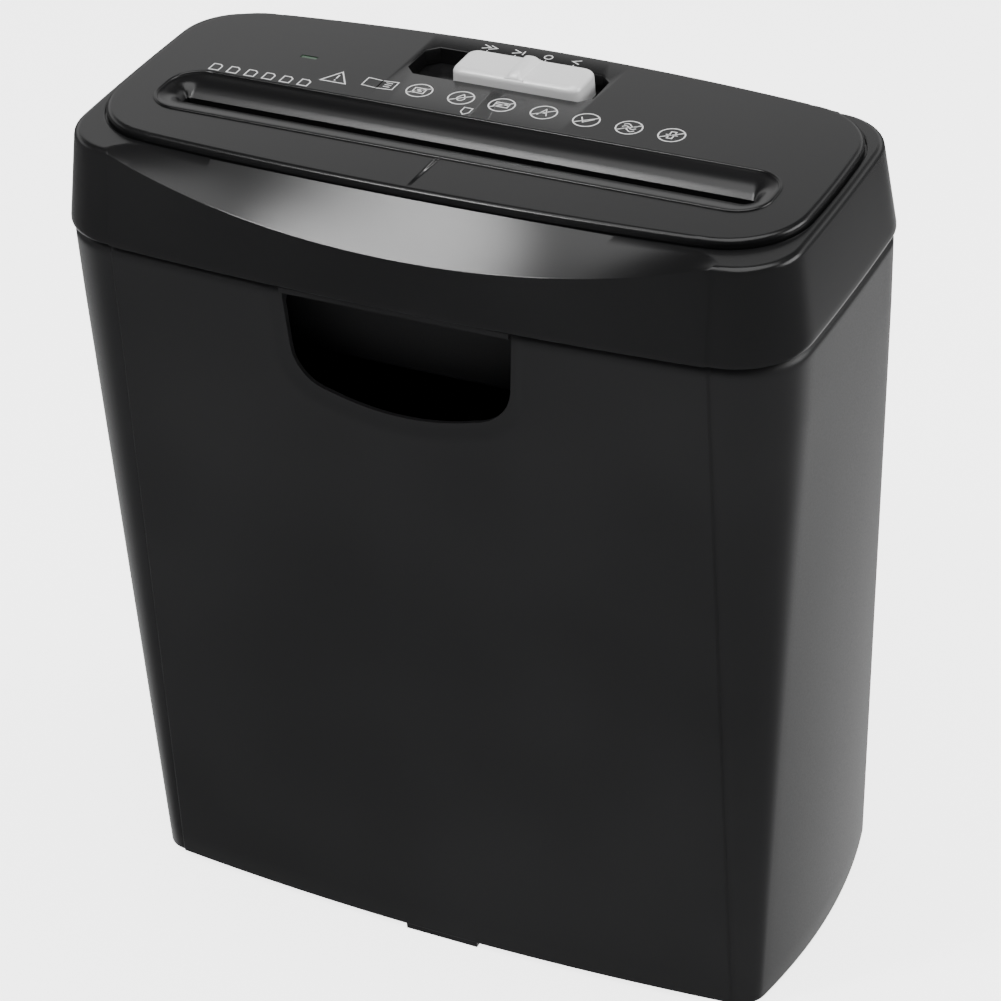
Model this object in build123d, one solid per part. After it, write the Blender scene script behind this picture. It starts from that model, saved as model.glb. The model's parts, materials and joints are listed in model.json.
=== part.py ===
"""A small strip-cut paper shredder: a cutting head with its mechanism, resting on a waste bin.

Millimetres. +Z is up, the front faces -Y and the long side runs along X.
The origin is on the floor, under the middle of the object.
"""
import os
from math import acos, atan2, cos, degrees, hypot, pi, radians, sin, sqrt, tan

from build123d import *

# ---- driving dimensions ----
FOOT_H = 2.0                       # the bin's underside above the floor
RIM_Z = 279.5                      # top of the bin's rim
HEAD_Z = 279.9                     # lower edge of the head's skirt
SHOULDER_Z = 314.4                 # top of the skirt
PANEL_Z = 317.4                    # top of the raised panel
WALL = 2.2
HEAD_WALL = 2.4
CREASE_STEP = 0.8                  # the fronts and backs stand proud of the rounded ends

# plan shapes of the covers: each pair is the lower and the upper edge
BIN_HALF_X = (132.5, 140.5)
BIN_DEPTH = (66.0, 67.0)           # from the middle plane to the bowed front, and to the back
BIN_BOW = (5.8, 4.2)
BIN_CORNER = (9.6, 26.8)
BIN_CREASE_X = (116.4, 113.0)
HEAD_HALF_X = (141.2, 137.0)
HEAD_DEPTH = (68.5, 65.6)
HEAD_BOW = (4.2, 7.2)
HEAD_CORNER = (29.6, 26.3)
HEAD_CREASE_X = (113.0, 112.7)
PANEL_HALF_X = 133.0
PANEL_Y = (-50.3, 61.5)
PANEL_BOW = (3.8, 6.6)             # in front and behind
PANEL_CORNER = 30.0
PANEL_CREASE_X = 103.5
RIM_INSET = 4.6                    # the inside of the bin's turned-in rim, from its outline
FOOT_Y = (54.0, 65.7)              # the feet moulded under the front and the back
POST_Z = (258.0, 276.0)            # the post that the interlock plunger stands on
HAND_HOLD = ((44.3, RIM_Z + 5), (42.3, 256.0), (38.0, 245.6), (28.0, 240.2), (0.0, 236.0))   # right half, as (x, z)

SLIT_Y = -11.4                     # the paper slit, and the plane between the two shafts
SLIT_HALF_X = 109.0
SLIT_HALF_Y = 2.5
TROUGH_HALF_X = 115.3
TROUGH_HALF_Y = 13.0
TROUGH_TOP_TILT = 8.0              # slope of the trough's wall at its upper edge, degrees
TROUGH_FOOT_TILT = 42.0            # and beside the slit

CRESCENT_HALF_X = 118.0            # the crescent-shaped face in front of the panel
CRESCENT_EDGE_Y = (-66.8, -57.9)   # its lower edge, in the middle and at the tips
CRESCENT_EDGE_Z = (299.4, 315.2)
CRESCENT_STRIPS = 8                # on each side of the middle

RECESS_X = (-41.0, 31.5)           # recess of the mode knob
RECESS_Y = (27.6, 49.1)
RECESS_FLOOR = 311.2
KNOB_X = (-23.4, 26.8)
KNOB_Y = (28.6, 47.1)
KNOB_TOP = 321.1
KNOB_RIDGE_TOP = 323.1
KNOB_CORNER = 4.2
KNOB_TRAVEL = (-7.0, 3.5)          # reverse is +3.5, automatic and forward are -3.5 and -7

SHAFT_Z = 283.0                    # cutter shafts
SHAFT_GAP = 22.0                   # distance between their axes
FRONT_Y = SLIT_Y - SHAFT_GAP / 2
REAR_Y = SLIT_Y + SHAFT_GAP / 2
DISC_R = 13.5
DISC_W = 3.3
DISC_PITCH = 7.2
DISC_COUNT = 30
SPACER_R = 8.0
HEX = 10.0                         # across the flats, in the discs
JOURNAL_R = 4.5
END_HEX = 6.4                      # across the flats, in the gears
SHOULDER_X = 112.5                 # where the shafts' journals begin

PLATE_X = 113.0                    # inner face of each side plate
PLATE_T = 2.0
PLATE_Y = (-40.0, 50.0)
PLATE_Z = (244.0, 304.0)
TUB_X = 135.0                      # lower housing
TUB_Y = (-44.0, 53.6)
TUB_Z = 240.0
FLANGE_Z = (280.1, 282.3)
EXIT_HALF = (112.0, 12.0)          # strip exit in the housing's floor

MOTOR_Y = 30.6
MOTOR_Z = 266.5
MOTOR_R = 20.0
MOTOR_X = (-113.0, -55.0)
MOTOR_SHAFT_R = 2.0
FIRST_RISE = 105.0                 # direction from the rotor to the first compound gear, degrees

PRESSURE_ANGLE = radians(25.0)
TOOTH_PLAY = 0.12                  # taken off each tooth's thickness at the pitch circle
LAYER_A = (-120.6, -116.6)         # the three planes of the gear train, outwards from the left plate
LAYER_B = (-125.6, -121.6)
LAYER_C = (-130.6, -126.6)
ROTOR_TEETH, FIRST_TEETH = 10, 50
FIRST_PINION_TEETH, SECOND_TEETH = 10, 40
SECOND_PINION_TEETH, DRIVE_TEETH = 12, 36
MODULE_A, MODULE_B, MODULE_C = 0.8, 1.0, 1.25
SYNC_TEETH = 22
AXLE_R = 2.2
RUNNING = 0.05                     # radial clearance of a shaft in its bush

BOARD_X = (-90.0, 72.0)
BOARD_Y = (20.0, 52.0)
BOARD_Z = 293.5
BOARD_T = 1.6
BOARD_SCREWS = [(x, y) for x in (-38.0, 66.0) for y in (23.5, 48.5)]
COVER_SCREWS = [(x, y) for x in (-85.0, 85.0) for y in (-54.0, 56.6)]
TIE_RODS = [(-36.8, 292.6), (-36.0, 250.0), (6.0, 250.0), (11.0, 300.6)]
LED_AT = (-78.0, 25.8)
SENSOR_AT = (-27.0, 302.0)
SENSOR_HALF_X = 6.0
PLUNGER_AT = (70.0, -53.0)
GLAND_AT = (99.0, 297.0)
GLAND_HALF = (6.5, 5.5)


# ---- helpers ----
def block(x, y, z):
    """A box from three (low, high) pairs."""
    low = (x[0], y[0], z[0])
    return Pos(*low) * Box(x[1] - x[0], y[1] - y[0], z[1] - z[0], align=(Align.MIN,) * 3)


def rod_x(radius, x, y, z):
    """A cylinder along X."""
    return Pos(x[0], y, z) * extrude(Plane.YZ * Circle(radius), x[1] - x[0])


def rod_y(radius, x, y, z):
    """A cylinder along Y."""
    return Pos(x, y[1], z) * extrude(Plane.XZ * Circle(radius), y[1] - y[0])


def rod_z(radius, x, y, z):
    """A cylinder along Z."""
    return Pos(x, y, z[0]) * extrude(Circle(radius), z[1] - z[0])


def hex_x(flats, x, y, z):
    """A hexagonal bar along X."""
    outline = RegularPolygon(flats / sqrt(3), 6)
    return Pos(x[0], y, z) * extrude(Plane.YZ * outline, x[1] - x[0])


def save(node, shape):
    """Write one node."""
    shape.label = node
    export_step(shape, f"parts/{node}.step")


def outline(z, half_x, front, back, corner, crease_x, front_bow, back_bow, step=CREASE_STEP):
    """The plan shape at height z: bowed front and back, a step at each crease, round corners, bowed ends."""
    front_crease = front + front_bow
    back_crease = back - back_bow
    corner_x = crease_x + step
    corner = min(corner, half_x - corner_x - 0.5)
    front_c = front_crease + step + corner
    back_c = back_crease - step - corner
    middle = (front_c + back_c) / 2
    reach = (back_c - front_c) / 2
    over = corner_x + corner - half_x
    end_r = (corner**2 - (corner_x - half_x) ** 2 - reach**2) / (2 * over)
    slope = atan2(reach, corner_x - (half_x - end_r))

    def corner_arc(side, centre_y, way):
        """A corner, from the crease's step to the end's arc; way is -1 in front and 1 behind."""
        angles = (pi / 2, (pi / 2 + slope) / 2, slope)
        return [(side * (corner_x + corner * cos(angle)), centre_y + way * corner * sin(angle)) for angle in angles]

    def end(side):
        """One end of the outline; side is 1 on the right and -1 on the left."""
        front_arc = corner_arc(side, front_c, -1)
        back_arc = corner_arc(side, back_c, 1)
        return [
            Line((side * crease_x, front_crease), front_arc[0]),
            ThreePointArc(*front_arc),
            ThreePointArc(front_arc[2], (side * half_x, middle), back_arc[2]),
            ThreePointArc(*back_arc),
            Line(back_arc[0], (side * crease_x, back_crease)),
        ]

    front_arc = ThreePointArc((-crease_x, front_crease), (0, front), (crease_x, front_crease))
    back_arc = ThreePointArc((-crease_x, back_crease), (0, back), (crease_x, back_crease))
    return Pos(0, 0, z) * make_face([front_arc, *end(1), back_arc, *end(-1)])


def mix(low, high, t):
    """Between two numbers."""
    return low + (high - low) * t


def bin_outline(z, inset=0.0):
    """The bin's plan shape, which widens upwards."""
    t = (z - FOOT_H) / (HEAD_Z - FOOT_H)
    depth = mix(*BIN_DEPTH, t) - inset
    bow = mix(*BIN_BOW, t)
    return outline(z, mix(*BIN_HALF_X, t) - inset, -depth, depth, mix(*BIN_CORNER, t) - inset * t,
                   mix(*BIN_CREASE_X, t), bow, bow)


def head_outline(z, inset=0.0):
    """The head's plan shape, which narrows upwards."""
    t = (z - HEAD_Z) / (SHOULDER_Z - HEAD_Z)
    depth = mix(*HEAD_DEPTH, t) - inset
    bow = mix(*HEAD_BOW, t)
    return outline(z, mix(*HEAD_HALF_X, t) - inset, -depth, depth, mix(*HEAD_CORNER, t) - inset,
                   mix(*HEAD_CREASE_X, t), bow, bow)


def panel_outline(z, inset=0.0):
    """The raised panel's plan shape."""
    return outline(z, PANEL_HALF_X - inset, PANEL_Y[0] + inset, PANEL_Y[1] - inset, PANEL_CORNER - inset,
                   PANEL_CREASE_X, *PANEL_BOW, 0.3)


def stack(faces):
    """A solid through a list of outlines, with straight walls between them."""
    return loft(faces, ruled=True)


def rounded_slot(half_x, half_y, corner, x=0.0, y=0.0, z=0.0):
    """A flat rectangle with round corners."""
    return Pos(x, y, z) * RectangleRounded(2 * half_x, 2 * half_y, corner)


# ---- bin ----
def make_bin():
    """The tub, with its rim, the hand hold in its front, two moulded feet and the interlock post."""
    outer = stack([bin_outline(FOOT_H, 1.2), bin_outline(FOOT_H + 1.2), bin_outline(275.6),
                   bin_outline(277.6, 0.8), bin_outline(RIM_Z, 3.0)])
    hollow = stack([bin_outline(FOOT_H + 2.6, WALL), bin_outline(272.0, WALL), bin_outline(275.6, RIM_INSET),
                    bin_outline(RIM_Z + 1, RIM_INSET)])
    shell = outer - hollow
    for side in (-1, 1):
        shell += block((-15, 15), sorted((side * FOOT_Y[0], side * FOOT_Y[1])), (0, FOOT_H + 2))
    x, y = PLUNGER_AT
    post = block((x - 4, x + 4), (-62.0, y + 4), POST_Z)
    return shell + post - extrude(hand_hold(), 24)


def hand_hold():
    """The D-shaped notch, drawn on an upright plane in front of the bin."""
    *right, middle = HAND_HOLD
    left = [(-x, z) for x, z in reversed(right)]
    edges = [
        Line(right[0], right[1]),
        ThreePointArc(right[1], right[2], right[3]),
        ThreePointArc(right[3], middle, left[0]),
        ThreePointArc(left[0], left[1], left[2]),
        Line(left[2], left[3]),
        Line(left[3], right[0]),
    ]
    return Plane((0, -54, 0), x_dir=(1, 0, 0), z_dir=(0, -1, 0)) * make_face(edges)


def make_foot_pads():
    """Four soft pads under the corners."""
    return Compound([rod_z(8, x, y, (0, FOOT_H)) for x in (-112, 112) for y in (-44, 44)])


# ---- head: covers ----
def crescent_cutter(drop=0.0):
    """Everything above the crescent: a twisted face that is flat at its tips and steep in the middle."""
    top = SHOULDER_Z - drop
    sections = []
    for i in range(-CRESCENT_STRIPS, CRESCENT_STRIPS + 1):
        t = (i / CRESCENT_STRIPS) ** 2
        near = (mix(-51.2, -47.0, t), top + mix(0, 0.6, t))
        edge = (mix(*CRESCENT_EDGE_Y, t), mix(*CRESCENT_EDGE_Z, t) - drop)
        far = (mix(near[0], edge[0], 1.9), mix(near[1], edge[1], 1.9))
        corners = [near, far, (far[0], top + 40), (near[0], top + 40)]
        sections.append(Pos(i * CRESCENT_HALF_X / CRESCENT_STRIPS, 0, 0) * Plane.YZ * Polygon(*corners, align=None))
    return stack(sections)


def trough():
    """The paper throat: the slit, and above it a funnel whose rounded walls steepen towards the slit."""
    run = TROUGH_HALF_Y - SLIT_HALF_Y
    top_tilt, foot_tilt = radians(TROUGH_TOP_TILT), radians(TROUGH_FOOT_TILT)
    radius = run / (sin(foot_tilt) - sin(top_tilt))

    def level(share, z):
        """The funnel's outline, from the slit at share 0 to the panel at share 1."""
        size = (mix(SLIT_HALF_X, TROUGH_HALF_X, share), mix(SLIT_HALF_Y, TROUGH_HALF_Y, share))
        return Pos(0, SLIT_Y, z) * Rectangle(2 * size[0], 2 * size[1])

    levels = [level(0, 300)]
    for i in range(7):
        tilt = mix(foot_tilt, top_tilt, i / 6)
        share = 1 - radius * (sin(tilt) - sin(top_tilt)) / run
        levels.append(level(share, PANEL_Z - radius * (cos(top_tilt) - cos(tilt))))
    return stack(levels + [level(1, PANEL_Z + 3)])


def recess():
    """The knob's pocket, with cut corners."""
    half = ((RECESS_X[1] - RECESS_X[0]) / 2, (RECESS_Y[1] - RECESS_Y[0]) / 2)
    middle = (sum(RECESS_X) / 2, sum(RECESS_Y) / 2, RECESS_FLOOR)
    pocket = Pos(*middle) * extrude(Rectangle(2 * half[0], 2 * half[1]), 10)
    return chamfer(pocket.edges().filter_by(Axis.Z), 4.2)


def stem_slot():
    """Slot in the pocket's floor that the knob's stem slides in."""
    x = (KNOB_X[0] + KNOB_X[1]) / 2
    return block((x + KNOB_TRAVEL[0] - 4.6, x + KNOB_TRAVEL[1] + 4.6), (35.2, 40.6), (300, RECESS_FLOOR + 1))


def make_top_cover():
    """The head's upper shell: skirt, shoulder, crescent, raised panel, trough and knob pocket."""
    skirt = stack([head_outline(HEAD_Z, 1.0), head_outline(HEAD_Z + 0.5, 0.25), head_outline(HEAD_Z + 1.4),
                   head_outline(312.4), head_outline(313.6, 0.5), head_outline(SHOULDER_Z, 1.8)])
    panel = stack([panel_outline(313.0), panel_outline(315.6), panel_outline(316.7, 0.5),
                   panel_outline(PANEL_Z, 1.8)])
    groove = extrude(panel_outline(313.3, -0.9), 3) - extrude(panel_outline(313.0), 4)
    shell = skirt - crescent_cutter() - groove + panel

    bead = extrude(rounded_slot(TROUGH_HALF_X + 3, TROUGH_HALF_Y + 1.9, 5, 0, SLIT_Y, PANEL_Z - 0.5), 1.0)
    bead -= extrude(rounded_slot(TROUGH_HALF_X + 1.6, TROUGH_HALF_Y + 0.7, 4.6, 0, SLIT_Y, PANEL_Z), 1.0)

    under_shoulder = stack([head_outline(HEAD_Z - 1, HEAD_WALL), head_outline(312.0, HEAD_WALL)])
    under_panel = extrude(panel_outline(311.0, 4.5), 4.0)
    around_trough = (TROUGH_HALF_X + 4, TROUGH_HALF_Y + 2.6)
    around_slit = (SLIT_HALF_X + 2.5, SLIT_HALF_Y + 2.3)
    solid_zones = block((-around_trough[0], around_trough[0]),
                        (SLIT_Y - around_trough[1], SLIT_Y + around_trough[1]), (309.4, 316))
    solid_zones += block((-around_slit[0], around_slit[0]),
                         (SLIT_Y - around_slit[1], SLIT_Y + around_slit[1]), (306, 316))
    solid_zones += block((RECESS_X[0] - 2.5, RECESS_X[1] + 2.5), (RECESS_Y[0] - 2.1, RECESS_Y[1] + 2), (309, 316))
    for x, y in COVER_SCREWS:
        solid_zones += rod_z(3.6, x, y, (FLANGE_Z[1], 316))
    for x, y in BOARD_SCREWS:
        solid_zones += rod_z(3.0, x, y, (BOARD_Z + BOARD_T, 316))
    hollow = under_shoulder - crescent_cutter(2.8) + under_panel - solid_zones

    shell = shell + bead - hollow - trough() - recess() - stem_slot()
    shell -= block((LED_AT[0] - 3.25, LED_AT[0] + 3.25), (LED_AT[1] - 1, LED_AT[1] + 1), (300, 320))
    for x, y in COVER_SCREWS:
        shell -= rod_z(1.4, x, y, (FLANGE_Z[1] - 1, 294))
    for x, y in BOARD_SCREWS:
        shell -= rod_z(1.1, x, y, (BOARD_Z, 303))
    return shell - gland_block(GLAND_HALF, (55, 75))


def tub_face(z, inset, corner=19.0):
    """The lower housing's plan shape."""
    half_y = (TUB_Y[1] - TUB_Y[0]) / 2 - inset
    return rounded_slot(TUB_X - inset, half_y, corner - inset, 0, sum(TUB_Y) / 2, z)


def make_lower_housing():
    """The head's underside: a tub that hangs into the bin, its flange, and the lip over the hand hold."""
    flange = extrude(head_outline(FLANGE_Z[0], HEAD_WALL + 0.6), FLANGE_Z[1] - FLANGE_Z[0])
    tub = extrude(tub_face(TUB_Z, 0), FLANGE_Z[1] - TUB_Z)
    tub = chamfer(tub.faces().sort_by(Axis.Z)[0].edges(), 2)
    hollow = extrude(tub_face(TUB_Z + WALL, WALL), FLANGE_Z[1])
    lip = block((-43.6, 43.6), (-67.0, -62.8), (277.6, HEAD_Z - 0.2))
    lip += block((-43.6, 43.6), (-65.0, -62.8), (277.6, FLANGE_Z[0] + 1))
    shell = flange + tub + lip - hollow
    shell -= block((-EXIT_HALF[0], EXIT_HALF[0]), (SLIT_Y - EXIT_HALF[1], SLIT_Y + EXIT_HALF[1]), (230, 250))
    for x, y in COVER_SCREWS:
        shell -= rod_z(1.6, x, y, (270, 290))
    x, y = PLUNGER_AT
    return shell - rod_z(2.8, x, y, (270, 290))


def screw(radius, head_radius, length, head):
    """A pan-head screw along Z: its head below the origin and its shank above."""
    body = rod_z(radius, 0, 0, (0, length)) + rod_z(head_radius, 0, 0, (-head, 0))
    cross = block((-head_radius * 0.6, head_radius * 0.6), (-0.3, 0.3), (-head, -head * 0.4))
    return body - cross - Rot(0, 0, 90) * cross


def make_cover_screws():
    """Four screws that hold the lower housing to the top cover."""
    return Compound([Pos(x, y, FLANGE_Z[0]) * screw(1.4, 2.5, 12, 1.9) for x, y in COVER_SCREWS])


def gland_block(half, y):
    """A block centred on the gland's axis."""
    x, z = GLAND_AT
    return block((x - half[0], x + half[0]), y, (z - half[1], z + half[1]))


def make_cord_gland():
    """The grommet in the back wall that a mains lead comes through."""
    outside = 65.0
    flange_half = (GLAND_HALF[0] + 2, GLAND_HALF[1] + 2)
    body = gland_block(GLAND_HALF, (outside - 6.0, outside))
    body = chamfer(body.faces().sort_by(Axis.Y)[-1].edges(), 0.8)
    flange = gland_block(flange_half, (outside - 8.0, outside - 6.0))
    return body + flange - rod_y(3.4, GLAND_AT[0], (50, 80), GLAND_AT[1])


# ---- head: frame ----
def gear_places():
    """Where the two compound gears turn, worked out from the centre distances of the train."""
    first_reach = MODULE_A * (ROTOR_TEETH + FIRST_TEETH) / 2
    rise = radians(FIRST_RISE)
    first = (MOTOR_Y + first_reach * cos(rise), MOTOR_Z + first_reach * sin(rise))
    near = MODULE_B * (FIRST_PINION_TEETH + SECOND_TEETH) / 2
    far = MODULE_C * (SECOND_PINION_TEETH + DRIVE_TEETH) / 2
    dy, dz = first[0] - REAR_Y, first[1] - SHAFT_Z
    apart = hypot(dy, dz)
    along = (far**2 - near**2 + apart**2) / (2 * apart)
    across = sqrt(far**2 - along**2)
    second = (REAR_Y + (along * dy + across * dz) / apart, SHAFT_Z + (along * dz - across * dy) / apart)
    return first, second


FIRST_AT, SECOND_AT = gear_places()


def make_side_plate(side):
    """A pressed steel plate that carries one end of both shafts; side is -1 on the left."""
    x = (min(side * PLATE_X, side * (PLATE_X + PLATE_T)), max(side * PLATE_X, side * (PLATE_X + PLATE_T)))
    plate = block(x, PLATE_Y, PLATE_Z)
    plate = fillet(plate.edges().filter_by(Axis.X), 5)
    for y in (FRONT_Y, REAR_Y):
        plate -= rod_x(7.0, x, y, SHAFT_Z)
    for y, z in TIE_RODS:
        plate -= rod_x(1.6, x, y, z)
    if side < 0:
        plate -= rod_x(4.0, x, MOTOR_Y, MOTOR_Z)
        for y, z in motor_screw_places():
            plate -= rod_x(1.6, x, y, z)
        for y, z in (FIRST_AT, SECOND_AT):
            plate -= rod_x(AXLE_R, x, y, z)
    return plate


def motor_screw_places():
    """Two screws, above and below the rotor."""
    return [(MOTOR_Y + 12 * cos(radians(a)), MOTOR_Z + 12 * sin(radians(a))) for a in (110, 290)]


def make_tie_rods():
    """Rods that hold the plates apart."""
    rods = []
    for y, z in TIE_RODS:
        rod = rod_x(3.0, (-PLATE_X, PLATE_X), y, z)
        for side in (-1, 1):
            rod -= rod_x(1.4, sorted((side * (PLATE_X - 9), side * PLATE_X)), y, z)
        rods.append(rod)
    return Compound(rods)


def screw_x(side, y, z, face):
    """A screw whose head bears on a plate's outer face and whose shank points inwards."""
    return Pos(side * face, y, z) * Rot(0, -side * 90, 0) * screw(1.4, 2.6, 9, 1.4)


def make_frame_screws():
    """Eight screws, one into each end of each tie rod."""
    return Compound([screw_x(side, y, z, PLATE_X + PLATE_T) for side in (-1, 1) for y, z in TIE_RODS])


def make_mounting_bushes():
    """Rubber blocks between the plates and the lower housing's floor."""
    return Compound([block((side * 114 - 4, side * 114 + 4), (y - 5, y + 5), (TUB_Z + WALL, PLATE_Z[0]))
                     for side in (-1, 1) for y in (-31, 44)])


def make_shaft_bushes():
    """Four sintered bushes pressed into the side plates."""
    bushes = []
    for side in (-1, 1):
        x = sorted((side * (PLATE_X - 0.2), side * (PLATE_X + PLATE_T + 0.8)))
        for y in (FRONT_Y, REAR_Y):
            bushes.append(rod_x(7.0, x, y, SHAFT_Z) - rod_x(JOURNAL_R + RUNNING, x, y, SHAFT_Z))
    return Compound(bushes)


def make_paper_guide(side):
    """A plate that leads the paper into the nip; side is -1 in front, where the sensor lever passes."""
    y = sorted((SLIT_Y + side * SLIT_HALF_Y, SLIT_Y + side * (SLIT_HALF_Y + 1.5)))
    guide = block((-PLATE_X, PLATE_X), y, (297.4, 305.8))
    if side < 0:
        guide -= block((-2.2, 2.2), (y[0] - 1, y[1] + 1), (297, 304))
    return guide


def disc_places(side):
    """X of each cutting disc; side is -1 on the front shaft, whose discs sit half a pitch to the left."""
    return [(i - (DISC_COUNT - 1) / 2) * DISC_PITCH + side * DISC_PITCH / 4 for i in range(DISC_COUNT)]


def make_stripper_comb(side):
    """A bar with fingers that lift the strips off the discs of one shaft; side is -1 in front."""
    axis_y = SLIT_Y + side * SHAFT_GAP / 2

    def band(near, far):
        """A Y range measured outwards from the shaft."""
        return sorted((axis_y + side * near, axis_y + side * far))

    comb = block((-PLATE_X, PLATE_X), band(8.4, 9.9), (256, 272))
    half = DISC_W / 2 - 0.15
    for x in disc_places(-side):
        comb += block((x - half, x + half), band(-2.4, 9.0), (262, 281.5))
    return comb - rod_x(SPACER_R + 0.6, (-PLATE_X, PLATE_X), axis_y, SHAFT_Z)


# ---- cutters ----
def make_cutter_shaft(side):
    """A hexagonal shaft with round journals; side is -1 in front."""
    y = SLIT_Y + side * SHAFT_GAP / 2
    shaft = hex_x(HEX, (-SHOULDER_X, SHOULDER_X), y, SHAFT_Z)
    shaft += rod_x(JOURNAL_R, (-116.0, -SHOULDER_X), y, SHAFT_Z)
    shaft += rod_x(JOURNAL_R, (SHOULDER_X, 116.4), y, SHAFT_Z) + hex_x(END_HEX, (116.4, 124.0), y, SHAFT_Z)
    if side > 0:
        shaft += hex_x(END_HEX, (LAYER_C[0] - 1.2, -116.0), y, SHAFT_Z)
    return shaft


def make_cutter_discs(side):
    """Notched discs, each a separate solid on the shaft."""
    y = SLIT_Y + side * SHAFT_GAP / 2
    disc = rod_x(DISC_R, (-DISC_W / 2, DISC_W / 2), 0, 0) - hex_x(HEX, (-DISC_W, DISC_W), 0, 0)
    for turn in range(0, 360, 45):
        reach = DISC_R + 0.3
        disc -= rod_x(0.8, (-DISC_W, DISC_W), reach * cos(radians(turn)), reach * sin(radians(turn)))
    return Compound([Pos(x, y, SHAFT_Z) * disc for x in disc_places(side)])


def make_spacers(side):
    """Rings between the discs, and one at each end up to the shaft's shoulders."""
    y = SLIT_Y + side * SHAFT_GAP / 2
    edges = [-SHOULDER_X]
    for x in disc_places(side):
        edges += [x - DISC_W / 2, x + DISC_W / 2]
    edges.append(SHOULDER_X)
    rings = []
    for low, high in zip(edges[::2], edges[1::2]):
        rings.append(rod_x(SPACER_R, (low, high), y, SHAFT_Z) - hex_x(HEX, (low, high), y, SHAFT_Z))
    return Compound(rings)


# ---- gears ----
def gear(teeth, module, x, y, z, phase):
    """An involute spur gear along X, with one tooth centred at the phase angle (degrees from +Y towards +Z)."""
    pitch_r = teeth * module / 2
    base_r = pitch_r * cos(PRESSURE_ANGLE)
    tip_r = pitch_r + 0.8 * module
    root_r = pitch_r - 1.05 * module
    start_r = max(base_r, root_r + 0.02)

    def involute(radius):
        """The involute function at a radius."""
        angle = acos(min(1.0, base_r / radius))
        return tan(angle) - angle

    half_at_pitch = pi / (2 * teeth) - TOOTH_PLAY / (2 * pitch_r)
    flank = []
    for i in range(4):
        radius = mix(start_r, tip_r, i / 3)
        flank.append((radius, half_at_pitch + involute(pitch_r) - involute(radius)))
    flank.insert(0, (root_r, flank[0][1] + 0.1 / root_r))
    points = []
    for tooth in range(teeth):
        centre = radians(phase) + 2 * pi * tooth / teeth
        for radius, half in flank:
            points.append((radius * cos(centre - half), radius * sin(centre - half)))
        for radius, half in reversed(flank):
            points.append((radius * cos(centre + half), radius * sin(centre + half)))
    profile = make_face(Polyline(*points, close=True))
    return Pos(x[0], y, z) * extrude(Plane.YZ * profile, x[1] - x[0])


def bearing(from_place, to_place):
    """Direction from one axis to another, in degrees from +Y towards +Z."""
    return degrees(atan2(to_place[1] - from_place[1], to_place[0] - from_place[0]))


MOTOR_AT = (MOTOR_Y, MOTOR_Z)
REAR_AT = (REAR_Y, SHAFT_Z)
FRONT_AT = (FRONT_Y, SHAFT_Z)


def driver(teeth, module, layer, place, other):
    """A gear with a tooth pointing at its partner's axis."""
    return gear(teeth, module, layer, *place, bearing(place, other))


def follower(teeth, module, layer, place, other):
    """A gear with a gap pointing at its partner's axis."""
    return gear(teeth, module, layer, *place, bearing(place, other) + 180 / teeth)


def make_first_compound():
    """The first reduction: a large gear that the rotor drives, and the pinion on it."""
    large = follower(FIRST_TEETH, MODULE_A, LAYER_A, FIRST_AT, MOTOR_AT)
    pinion = driver(FIRST_PINION_TEETH, MODULE_B, (LAYER_B[0], LAYER_A[0]), FIRST_AT, SECOND_AT)
    return large + pinion - rod_x(AXLE_R + RUNNING, (-127, -116), *FIRST_AT)


def make_second_compound():
    """The second reduction."""
    large = follower(SECOND_TEETH, MODULE_B, LAYER_B, SECOND_AT, FIRST_AT)
    pinion = driver(SECOND_PINION_TEETH, MODULE_C, (LAYER_C[0], LAYER_B[0]), SECOND_AT, REAR_AT)
    return large + pinion - rod_x(AXLE_R + RUNNING, (-131, -121), *SECOND_AT)


def make_drive_gear():
    """The last gear of the train, on the rear shaft."""
    blank = follower(DRIVE_TEETH, MODULE_C, LAYER_C, REAR_AT, SECOND_AT)
    for turn in range(0, 360, 60):
        angle = radians(turn + 30)
        blank -= rod_x(3.2, (-131, -126), REAR_Y + 13 * cos(angle), SHAFT_Z + 13 * sin(angle))
    return blank - hex_x(END_HEX, (-131, -126), *REAR_AT)


def make_sync_gear(side):
    """One of the equal gears that turn the two shafts together; side is -1 in front."""
    x = (117.0, 123.5)
    if side < 0:
        blank = driver(SYNC_TEETH, 1.0, x, FRONT_AT, REAR_AT)
        return blank - hex_x(END_HEX, x, *FRONT_AT)
    return follower(SYNC_TEETH, 1.0, x, REAR_AT, FRONT_AT) - hex_x(END_HEX, x, *REAR_AT)


def make_gear_axles():
    """Two pins in the left plate, each with a collar that spaces its gear."""
    first = rod_x(AXLE_R, (-126.8, -PLATE_X), *FIRST_AT) + rod_x(4.0, (-116.3, -115.0), *FIRST_AT)
    second = rod_x(AXLE_R, (-131.8, -PLATE_X), *SECOND_AT) + rod_x(3.4, (-121.3, -121.0), *SECOND_AT)
    return Compound([first, second])


def clip(x, y, z, hole):
    """A snap ring on the end of an axle."""
    ring = rod_x(4.6, (x - 0.6, x), y, z) - hole
    return ring - block((x - 1, x + 1), (y - 1.1, y + 1.1), (z - 6, z))


def make_axle_clips():
    """Snap rings that keep the compound gears on their axles."""
    places = [(-125.9, FIRST_AT), (-130.9, SECOND_AT)]
    return Compound([clip(x, *at, rod_x(AXLE_R, (x - 1, x + 1), *at)) for x, at in places])


def make_drive_gear_clip():
    """Snap ring on the rear shaft."""
    return clip(-130.7, *REAR_AT, hex_x(END_HEX, (-132, -130), *REAR_AT))


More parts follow.
